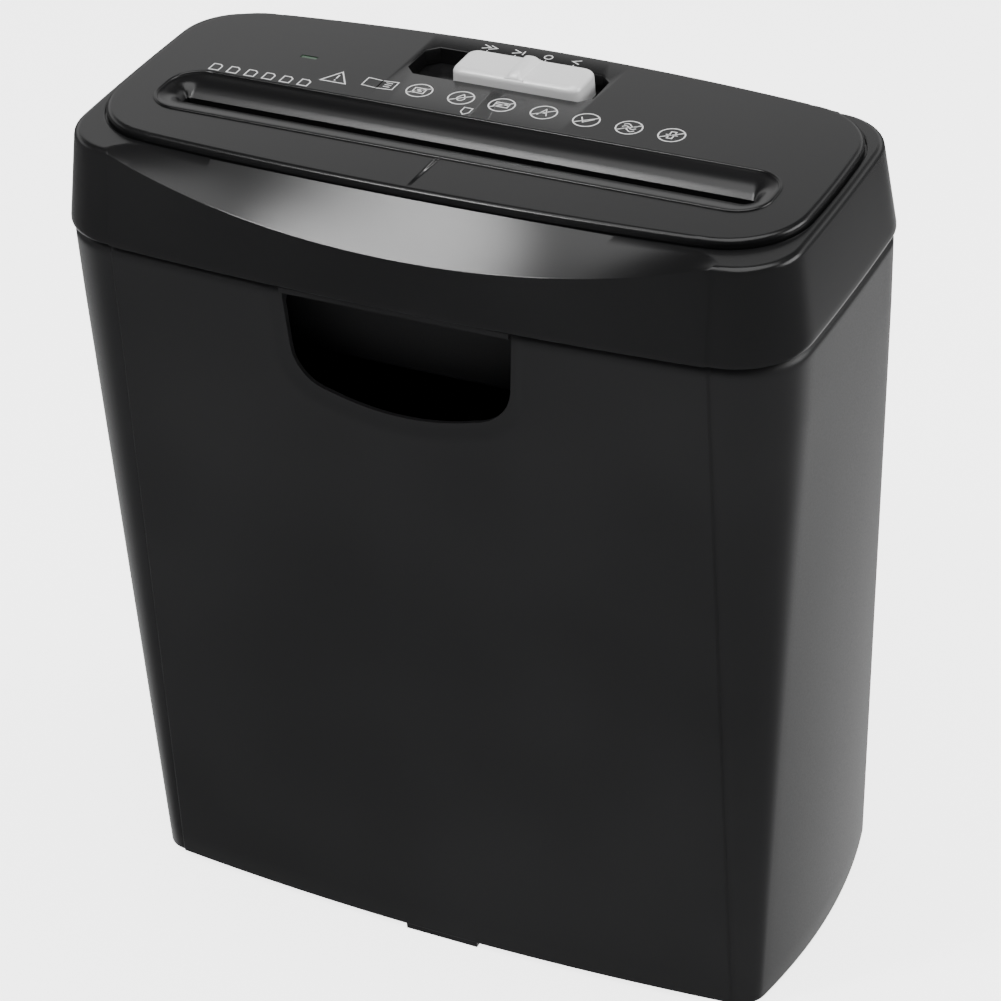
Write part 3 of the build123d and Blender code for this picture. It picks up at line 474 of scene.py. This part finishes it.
def make_panel():
    """The raised panel: rolled edge, thin bead round the trough, knob pocket and light slit."""
    rings = [panel_ring(313.35, 2.0), panel_ring(313.35, 0.3), panel_ring(313.6)]
    rings += rolled(panel_ring, 315.6, 0.0, 1.8, 8)
    rings.append(panel_ring(PANEL_Z, 2.1))
    trough_x, trough_y = TROUGH_HALF
    rings.append(slot_ring(PANEL_Z, trough_x + 3.4, trough_y + 2.4, 12.4))
    away, half_width, height = BEAD
    for i in range(9):
        angle = pi * i / 8
        grow = away + half_width * cos(angle)
        rings.append(slot_ring(PANEL_Z + height * sin(angle), trough_x + grow, trough_y + grow, 10.4 + grow))
    rings.append(slot_ring(PANEL_Z - 0.1, trough_x + 0.6, trough_y + 0.3, 10.8))
    rings += trough_rings()
    slit_z = rings[-1][0][2]
    rings += [slot_ring(slit_z - 0.5, *SLIT_HALF, 1.0), slot_ring(306.2, *SLIT_HALF, 1.0),
              slot_ring(306.0, 111.5, 4.8, 1.2), slot_ring(309.4, 113, 6.0, 1.2),
              slot_ring(309.4, 119.5, 15.6, 6.0), slot_ring(311.4, 120.5, 16.2, 6.5), panel_ring(311.4, 4.0)]
    panel = skin("head_panel", rings, closed=True)
    return cut(panel, [make_pocket_cutter(), make_led_cutter()])


def chamfered(x, y, corner, grow=0.0):
    """A rectangle with its corners cut off."""
    x0, x1 = x[0] - grow, x[1] + grow
    y0, y1 = y[0] - grow, y[1] + grow
    c = corner + grow * 0.6
    return [(x0 + c, y0), (x1 - c, y0), (x1, y0 + c), (x1, y1 - c), (x1 - c, y1), (x0 + c, y1), (x0, y1 - c),
            (x0, y0 + c)]


def make_pocket_cutter():
    """The knob's pocket, with a small round at its mouth."""
    bm = bmesh.new()
    r = POCKET_ROUND
    rings = [at(POCKET_FLOOR - 9, chamfered(POCKET_X, POCKET_Y, POCKET_CORNER))]
    for i in range(5):
        angle = pi / 2 * i / 4
        rings.append(at(PANEL_Z - r + r * sin(angle),
                        chamfered(POCKET_X, POCKET_Y, POCKET_CORNER, r * (1 - cos(angle)))))
    rings.append(at(PANEL_Z + 5, chamfered(POCKET_X, POCKET_Y, POCKET_CORNER, r)))
    add_skin(bm, rings)
    return finish_mesh(bm, "pocket_cutter")


def make_led_cutter():
    """The light's slit."""
    bm = bmesh.new()
    x, y = LED_AT
    slit = box((x - LED_HALF[0], x + LED_HALF[0]), (y - LED_HALF[1], y + LED_HALF[1]))
    add_prism(bm, slit, 300, 325)
    return finish_mesh(bm, "led_cutter")


def make_pocket_floor():
    """The tray under the knob, with the slot its stem slides in."""
    bm = bmesh.new()
    wide_x = (POCKET_X[0] - 0.5, POCKET_X[1] + 0.5)
    wide_y = (POCKET_Y[0] - 0.5, POCKET_Y[1] + 0.5)
    add_prism(bm, chamfered(wide_x, wide_y, POCKET_CORNER), 309.0, POCKET_FLOOR)
    tray = finish_mesh(bm, "pocket_tray")
    middle = (KNOB_X[0] + KNOB_X[1]) / 2
    slot = bmesh.new()
    add_prism(slot, box((middle + STEM_REACH[0], middle + STEM_REACH[1]), STEM_SLOT_Y), 300, 320)
    return cut(tray, [finish_mesh(slot, "stem_slot_cutter")])


# ---- knob ----
def rounded_box(x, y, corner, count=8):
    """A rectangle with round corners as plan points."""
    points = []
    for cx, cy, start in ((x[1] - corner, y[1] - corner, 0), (x[0] + corner, y[1] - corner, 90),
                          (x[0] + corner, y[0] + corner, 180), (x[1] - corner, y[0] + corner, 270)):
        for i in range(count + 1):
            angle = radians(start + 90 * i / count)
            points.append((cx + corner * cos(angle), cy + corner * sin(angle)))
    return points


def make_knob():
    """The sliding cap: a rounded slab, slightly drafted, with a finger ridge across its middle."""
    bm = bmesh.new()
    bottom, top = KNOB_Z

    def slab(z, inset):
        """The slab's outline at one height."""
        x = (KNOB_X[0] + inset, KNOB_X[1] - inset)
        y = (KNOB_Y[0] + inset, KNOB_Y[1] - inset)
        return at(z, rounded_box(x, y, KNOB_CORNER - 0.5 * inset))

    draft = 0.25
    rings = [slab(bottom, 0.4), slab(bottom + 0.4, 0.0)]
    rings += rolled(slab, top - KNOB_ROUND, draft, KNOB_ROUND, 7)
    rings.append(slab(top, draft + KNOB_ROUND + 0.4))
    add_skin(bm, rings)
    middle = (KNOB_X[0] + KNOB_X[1]) / 2
    foot = top - 0.5
    half = [(3.7, foot), (3.0, top + 0.3), (2.3, top + 1.2), (1.8, top + 1.75), (1.2, KNOB_RIDGE_Z)]
    profile = [(-x, z) for x, z in half] + half[::-1]
    rise = ((0.8, 0.0), (1.6, 0.55), (2.8, 0.9), (4.2, 1.0))
    near = [(KNOB_Y[0] + y, share) for y, share in rise]
    far = [(KNOB_Y[1] - y, share) for y, share in reversed(rise)]
    sections = []
    for y, share in near + far:
        sections.append([(middle + x, y, foot + (z - foot) * share) for x, z in profile])
    add_skin(bm, sections)
    return finish_mesh(bm, "knob_cap", 40)


# ---- printed marks ----
def add_stroke(bm, points, width=STROKE, closed=False):
    """A printed line through plan points, with mitred corners."""
    count = len(points)
    left = []
    right = []
    for i in range(count):
        before = Vector(points[i - 1] if i or closed else points[i])
        here = Vector(points[i])
        after = Vector(points[(i + 1) % count] if i < count - 1 or closed else points[i])
        a = (here - before).normalized() if (here - before).length > 1e-6 else (after - here).normalized()
        b = (after - here).normalized() if (after - here).length > 1e-6 else a
        normal = Vector((-(a + b).y, (a + b).x)).normalized()
        reach = width / 2 / max(0.45, normal.dot(Vector((-a.y, a.x))))
        left.append(here + normal * reach)
        right.append(here - normal * reach)
    spans = count if closed else count - 1
    for i in range(spans):
        j = (i + 1) % count
        corners = [right[i], right[j], left[j], left[i]]
        add_prism(bm, [tuple(c) for c in corners], INK_Z - INK_T, INK_Z)


def add_circle(bm, x, y, radius, width=STROKE, count=40):
    """A printed circle."""
    turns = [2 * pi * i / count for i in range(count)]
    points = [(x + radius * cos(turn), y + radius * sin(turn)) for turn in turns]
    add_stroke(bm, points, width, closed=True)


def shifted(x, y, points):
    """Plan points moved to a place."""
    return [(x + px, y + py) for px, py in points]


def page(x, y, w, h):
    """A small page with a cut corner."""
    return shifted(x, y, [(-w, -h), (w, -h), (w, h * 0.5), (w * 0.4, h), (-w, h)])


def ring_glyphs():
    """Simple signs of the builder's own for the seven rings: each is a list of (points, closed)."""
    wave = [(mix(-2.6, 2.6, i / 12), 0.9 * sin(2 * pi * i / 12)) for i in range(13)]
    drop = [(0, 2.6), (1.3, 0.6), (1.5, -0.6), (0.8, -1.7), (0, -2.0), (-0.8, -1.7), (-1.5, -0.6),
            (-1.3, 0.6)]
    return [
        [([(-2.2, -1.8), (2.2, -1.8), (2.2, 1.8), (-2.2, 1.8)], True), ([(-1.2, 0.6), (1.2, 0.6)], False),
         ([(-1.2, -0.6), (1.2, -0.6)], False)],
        [(drop, True)],
        [([(-2.6, -1.4), (2.6, -1.4), (2.6, 1.6), (-2.6, 1.6)], True), ([(-2.6, 0.3), (2.6, 0.3)], False)],
        [([(-1.8, -2.2), (0, 2.4), (1.8, -2.2)], False), ([(-1.0, -0.4), (1.0, -0.4)], False)],
        [([(-2.4, 1.6), (-0.6, -1.8), (2.6, 1.4)], False)],
        [(wave, False), ([(x, y + 1.7) for x, y in wave], False), ([(x, y - 1.7) for x, y in wave], False)],
        [([(-0.9, -2.4), (0.9, -2.4), (0.9, 2.4), (-0.9, 2.4)], True), ([(-2.2, 0), (2.2, 0)], False)],
    ]


def make_marks():
    """All printed marks of the panel: generic signs, not the pictures of any maker."""
    bm = bmesh.new()
    reach = (RING_R * cos(radians(35)), RING_R * sin(radians(35)))
    slash = [(-reach[0], -reach[1]), reach]
    for x, glyph in zip(RING_XS, ring_glyphs()):
        add_circle(bm, x, MARK_Y, RING_R, 0.5)
        add_stroke(bm, shifted(x, MARK_Y, slash))
        for points, closed in glyph:
            add_stroke(bm, shifted(x, MARK_Y, points), STROKE, closed)
    add_stroke(bm, shifted(-60.8, 15.0, [(-5.0, -3.6), (5.0, -3.6), (0, 4.4)]), 0.5, closed=True)
    add_stroke(bm, shifted(-60.8, 15.0, [(0, -0.9), (0, 1.8)]), 0.6)
    add_stroke(bm, shifted(-60.8, 15.0, [(0, -2.4), (0, -1.8)]), 0.6)
    for side in (-1, 1):
        leaf = [(0, -3.2), (side * 6.0, -2.6), (side * 6.0, 3.2), (0, 2.6)]
        add_stroke(bm, shifted(-44.1, 15.7, leaf), 0.4, closed=True)
    for y in (-1.2, 0.2, 1.6):
        add_stroke(bm, shifted(-44.1, 15.7, [(1.8, y), (4.4, y)]), 0.4)
    add_stroke(bm, [(-7.9, 10.0), (-4.7, 10.0), (-4.7, 6.8), (-6.3, 5.0), (-7.9, 6.8)], 0.4, closed=True)
    for i in range(6):
        add_stroke(bm, page(-106.0 + 7.2 * i, 7.4, 1.9, 2.2), closed=True)
    add_position_marks(bm)
    return finish_mesh(bm, "panel_marks")


def add_position_marks(bm):
    """Signs for the knob's positions: two forward arrows, an arrow with a bar, a circle and a back arrow."""
    y = SIGNS_Y
    right = [(-1.5, -1.5), (1.5, 0), (-1.5, 1.5)]
    for x in (-20.9, -18.3):
        add_stroke(bm, shifted(x, y, right))
    add_stroke(bm, shifted(-8.9, y, right))
    add_stroke(bm, shifted(-6.3, y, [(0, -1.5), (0, 1.5)]))
    add_circle(bm, 3.4, y, 1.5, count=20)
    add_stroke(bm, shifted(14.4, y, [(-px, py) for px, py in right]))
    for x, foot in ((-19.7, -9.7), (-8.5, -5.0), (3.4, 1.7), (14.4, 8.0)):
        add_stroke(bm, [(x, 52.6), (x, 51.4), (mix(x, foot, 0.35), 50.4)], 0.35)


# ---- materials ----
def new_material(name):
    """An empty node material with its principled shader and object coordinates in metres."""
    material = bpy.data.materials.new(name)
    material.use_nodes = True
    tree = material.node_tree
    shader = tree.nodes["Principled BSDF"]
    coords = tree.nodes.new("ShaderNodeTexCoord")
    return material, tree, shader, coords.outputs["Object"]


def noise(tree, vector, scale, detail=3.0, roughness=0.5, stretch=None):
    """A noise texture's factor; stretch scales the coordinates first."""
    if stretch:
        mapping = tree.nodes.new("ShaderNodeMapping")
        mapping.inputs["Scale"].default_value = stretch
        tree.links.new(vector, mapping.inputs["Vector"])
        vector = mapping.outputs["Vector"]
    node = tree.nodes.new("ShaderNodeTexNoise")
    node.inputs["Scale"].default_value = scale
    node.inputs["Detail"].default_value = detail
    node.inputs["Roughness"].default_value = roughness
    tree.links.new(vector, node.inputs["Vector"])
    return node.outputs["Fac"]


def spread(tree, factor, low, high, socket):
    """Maps a texture's middle range onto low..high and feeds a socket."""
    node = tree.nodes.new("ShaderNodeMapRange")
    node.inputs["From Min"].default_value = 0.3
    node.inputs["From Max"].default_value = 0.7
    node.inputs["To Min"].default_value = low
    node.inputs["To Max"].default_value = high
    tree.links.new(factor, node.inputs["Value"])
    tree.links.new(node.outputs["Result"], socket)


def tint(tree, factor, dark, light, socket):
    """A colour that varies between two tones."""
    ramp = tree.nodes.new("ShaderNodeValToRGB")
    ramp.color_ramp.elements[0].position = 0.35
    ramp.color_ramp.elements[1].position = 0.65
    ramp.color_ramp.elements[0].color = (*dark, 1)
    ramp.color_ramp.elements[1].color = (*light, 1)
    tree.links.new(factor, ramp.inputs["Fac"])
    tree.links.new(ramp.outputs["Color"], socket)


def bump(tree, height, strength, distance, shader, below=None):
    """A bump on the shader; below is an earlier bump's normal."""
    node = tree.nodes.new("ShaderNodeBump")
    node.inputs["Strength"].default_value = strength
    node.inputs["Distance"].default_value = distance
    tree.links.new(height, node.inputs["Height"])
    if below:
        tree.links.new(below, node.inputs["Normal"])
    tree.links.new(node.outputs["Normal"], shader.inputs["Normal"])
    return node.outputs["Normal"]


def moulded(name, dark, light, rough, grain=2600.0, grain_height=0.00003, strength=0.35, specular=0.5):
    """Injection-moulded plastic: spark-eroded grain, slow flow marks and slightly uneven gloss."""
    material, tree, shader, where = new_material(name)
    shader.inputs["Specular IOR Level"].default_value = specular
    tint(tree, noise(tree, where, 9.0, 2.0), dark, light, shader.inputs["Base Color"])
    spread(tree, noise(tree, where, 1500.0, 2.0), rough[0], rough[1], shader.inputs["Roughness"])
    flow = bump(tree, noise(tree, where, 14.0, 1.0), 0.04, 0.0002, shader)
    bump(tree, noise(tree, where, grain, 2.0, 0.6), strength, grain_height, shader, flow)
    return material


def metal(name, dark, light, rough, stretch=(1, 1, 1), scale=900.0, strength=0.25, metallic=1.0):
    """Machined, rolled or cast metal; stretch draws the marks out along an axis."""
    material, tree, shader, where = new_material(name)
    shader.inputs["Metallic"].default_value = metallic
    tint(tree, noise(tree, where, 35.0, 4.0), dark, light, shader.inputs["Base Color"])
    streaks = noise(tree, where, scale / 4, 5.0, 0.6, stretch)
    spread(tree, streaks, rough[0], rough[1], shader.inputs["Roughness"])
    bump(tree, noise(tree, where, scale, 3.0, 0.6, stretch), strength, 0.00004, shader)
    return material


def make_lens():
    """The light guide: dim green with a glossy skin."""
    material, tree, shader, where = new_material("green_lens")
    cloud = noise(tree, where, 900.0, 2.0)
    tint(tree, cloud, (0.004, 0.03, 0.008), (0.006, 0.05, 0.014), shader.inputs["Base Color"])
    spread(tree, noise(tree, where, 400.0), 0.18, 0.3, shader.inputs["Roughness"])
    shader.inputs["Coat Weight"].default_value = 0.4
    return material


def make_ink():
    """White pad-printed ink, slightly uneven."""
    material, tree, shader, where = new_material("white_ink")
    speckle = noise(tree, where, 3000.0, 4.0)
    tint(tree, speckle, (0.72, 0.72, 0.72), (0.85, 0.85, 0.85), shader.inputs["Base Color"])
    spread(tree, noise(tree, where, 1500.0), 0.45, 0.65, shader.inputs["Roughness"])
    return material


def make_board_green():
    """Solder mask over glass cloth."""
    material, tree, shader, where = new_material("board_green")
    weave = noise(tree, where, 700.0, 1.0, 0.5, (4, 1, 1))
    cloud = noise(tree, where, 120.0, 5.0)
    tint(tree, cloud, (0.006, 0.07, 0.025), (0.012, 0.11, 0.04), shader.inputs["Base Color"])
    spread(tree, weave, 0.3, 0.42, shader.inputs["Roughness"])
    bump(tree, weave, 0.2, 0.00003, shader)
    return material


# ---- pieces ----
bin_plastic = moulded("bin_plastic", (0.0085, 0.0085, 0.009), (0.0105, 0.0105, 0.011), (0.36, 0.42), 2200.0,
                      0.00003, 0.25, 0.31)
cover_plastic = moulded("cover_plastic", (0.0065, 0.0065, 0.0068), (0.0085, 0.0085, 0.0088), (0.23, 0.25),
                        2400.0, 0.00002, 0.12, 0.34)
knob_silver = metal("knob_silver", (0.92, 0.92, 0.92), (0.96, 0.96, 0.96), (0.32, 0.42), scale=2600.0,
                    strength=0.1, metallic=0.15)
finishes = {
    "bin_plastic": bin_plastic,
    "cover_plastic": cover_plastic,
    "inner_plastic": moulded("inner_plastic", (0.006, 0.006, 0.0065), (0.008, 0.008, 0.0085), (0.5, 0.6),
                             1800.0, 0.00005, 0.4, 0.3),
    "knob_silver": knob_silver,
    "frame_steel": metal("frame_steel", (0.42, 0.43, 0.44), (0.55, 0.56, 0.57), (0.3, 0.45), (0.15, 1, 1)),
    "cutter_steel": metal("cutter_steel", (0.36, 0.37, 0.38), (0.5, 0.51, 0.52), (0.18, 0.32), (1, 0.2, 0.2)),
    "bronze": metal("bronze", (0.36, 0.2, 0.09), (0.5, 0.29, 0.14), (0.35, 0.5)),
    "brass": metal("brass", (0.58, 0.4, 0.14), (0.72, 0.52, 0.2), (0.22, 0.34)),
    "white_nylon": moulded("white_nylon", (0.66, 0.65, 0.6), (0.76, 0.75, 0.7), (0.32, 0.42), 1500.0),
    "motor_steel": metal("motor_steel", (0.48, 0.48, 0.47), (0.6, 0.6, 0.58), (0.28, 0.42), (1, 0.3, 0.3)),
    "core_iron": metal("core_iron", (0.16, 0.15, 0.14), (0.24, 0.23, 0.22), (0.4, 0.6), (9, 1, 1)),
    "rubber": moulded("rubber", (0.012, 0.012, 0.012), (0.018, 0.018, 0.018), (0.6, 0.75), 900.0),
    "board_green": make_board_green(),
    "component": moulded("component", (0.02, 0.05, 0.16), (0.03, 0.07, 0.2), (0.35, 0.5), 1400.0),
    "switch_black": moulded("switch_black", (0.01, 0.01, 0.01), (0.016, 0.016, 0.016), (0.35, 0.5), 1600.0),
    "lens": make_lens(),
}


def dress(piece, material, body, nodes=()):
    """Gives a finished piece its material and its body, and hides the CAD nodes it stands for."""
    piece.data.materials.clear()
    piece.data.materials.append(material)
    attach(piece, body)
    if nodes:
        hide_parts(*nodes)


dress(make_bin(), bin_plastic, "bin", ["bin"])
dress(make_bin_details(), bin_plastic, "bin")
dress(make_skirt(), cover_plastic, "head", ["top_cover"])
dress(make_panel(), cover_plastic, "head", ["top_cover"])
dress(make_pocket_floor(), cover_plastic, "head")
dress(make_knob(), knob_silver, "mode_slider", ["mode_knob"])
dress(make_marks(), make_ink(), "head")

for part in frame["record"]["subparts"]:
    node = frame["nodes"][part["node"]]
    node.data.materials.clear()
    node.data.materials.append(finishes[part["material_slot"]])


# ---- room ----
def make_floor():
    """A plain pale floor."""
    bm = bmesh.new()
    bmesh.ops.create_grid(bm, x_segments=8, y_segments=8, size=6000)
    floor = finish_mesh(bm, "floor")
    floor.location.z = -0.0002
    material, tree, shader, where = new_material("floor_white")
    tint(tree, noise(tree, where, 3.0, 2.0), (0.9, 0.9, 0.9), (0.92, 0.92, 0.92), shader.inputs["Base Color"])
    shader.inputs["Roughness"].default_value = 0.9
    shader.inputs["Specular IOR Level"].default_value = 0.1
    shader.inputs["Emission Color"].default_value = (1, 1, 1, 1)
    shader.inputs["Emission Strength"].default_value = 3.4
    floor.data.materials.append(material)
    return floor


def add_softbox(name, location, target, size, power):
    """A rectangular area light aimed at a point."""
    light = bpy.data.lights.new(name, "AREA")
    light.shape = "RECTANGLE"
    light.size, light.size_y = size
    light.energy = power
    lamp = bpy.data.objects.new(name, light)
    bpy.context.scene.collection.objects.link(lamp)
    lamp.location = location
    aim = Vector(location) - Vector(target)
    lamp.rotation_mode = "QUATERNION"
    lamp.rotation_quaternion = aim.to_track_quat("Z", "Y")
    lamp.visible_camera = False
    return lamp


def make_world(room, backdrop):
    """A dim room with a white backdrop behind the object, which is weaker in a band below the horizon."""
    world = bpy.data.worlds.new("studio")
    bpy.context.scene.world = world
    world.use_nodes = True
    tree = world.node_tree
    way = tree.nodes.new("ShaderNodeTexCoord").outputs["Generated"]
    split = tree.nodes.new("ShaderNodeSeparateXYZ")
    tree.links.new(way, split.inputs["Vector"])
    turned = tree.nodes.new("ShaderNodeVectorMath")
    turned.operation = "DOT_PRODUCT"
    turned.inputs[1].default_value = (-0.45, 1.0, 0.0)
    tree.links.new(way, turned.inputs[0])
    behind = smooth_range(tree, turned.outputs["Value"], -0.25, 0.6, 0.0, 1.0)
    low = smooth_range(tree, split.outputs["Z"], 0.4, 0.58, 1.0, 0.0)
    underneath = smooth_range(tree, split.outputs["Z"], -0.55, -0.38, 1.0, 0.2)
    upright = smooth_range(tree, split.outputs["Z"], 0.05, 0.35, 0.2, 1.0)
    wall = combine(tree, "MULTIPLY", behind, low)
    lit = combine(tree, "MULTIPLY", wall, combine(tree, "MAXIMUM", underneath, upright))
    total = smooth_range(tree, lit, 0.0, 1.0, room, backdrop)
    tree.links.new(total, tree.nodes["Background"].inputs["Strength"])


def combine(tree, operation, a, b):
    """A math node on two values."""
    node = tree.nodes.new("ShaderNodeMath")
    node.operation = operation
    tree.links.new(a, node.inputs[0])
    tree.links.new(b, node.inputs[1])
    return node.outputs[0]


def smooth_range(tree, value, start, stop, low, high):
    """A smooth step of a value."""
    node = tree.nodes.new("ShaderNodeMapRange")
    node.interpolation_type = "SMOOTHSTEP"
    node.inputs["From Min"].default_value = start
    node.inputs["From Max"].default_value = stop
    node.inputs["To Min"].default_value = low
    node.inputs["To Max"].default_value = high
    tree.links.new(value, node.inputs["Value"])
    return node.outputs["Result"]


floor = make_floor()
floor.visible_glossy = False
make_world(0.4, 25.0)
TOP = Vector((0, 0, 0.31))
KEY_WAY = Vector((-0.385, -0.51, 0.77))       # the way the crescent's middle mirrors the camera
add_softbox("key", TOP + 1.6 * KEY_WAY, TOP, (0.18, 0.3), 11)
add_softbox("right", (1.6, 0.6, 0.8), (0.1, 0, 0.15), (1.0, 1.0), 18)
add_softbox("over", (0.2, -0.1, 2.2), (0, 0, 0), (2.0, 2.0), 45)


def make_camera():
    """A long lens, above and to the right of the front."""
    data = bpy.data.cameras.new("camera")
    data.sensor_width = 36.0
    data.lens = 123.86
    data.shift_x = 0.0017
    data.shift_y = 0.001
    data.clip_start, data.clip_end = 0.05, 50.0
    camera = bpy.data.objects.new("camera", data)
    bpy.context.scene.collection.objects.link(camera)
    right = Vector((0.9001, 0.4329, -0.0499))
    up = Vector((-0.2039, 0.5194, 0.8299))
    back = right.cross(up).normalized()
    up = back.cross(right).normalized()
    turn = Matrix((right.normalized(), up, back)).transposed().to_4x4()
    camera.matrix_world = Matrix.Translation((0.4929, -0.9401, 0.8696)) @ turn
    bpy.context.scene.camera = camera


make_camera()
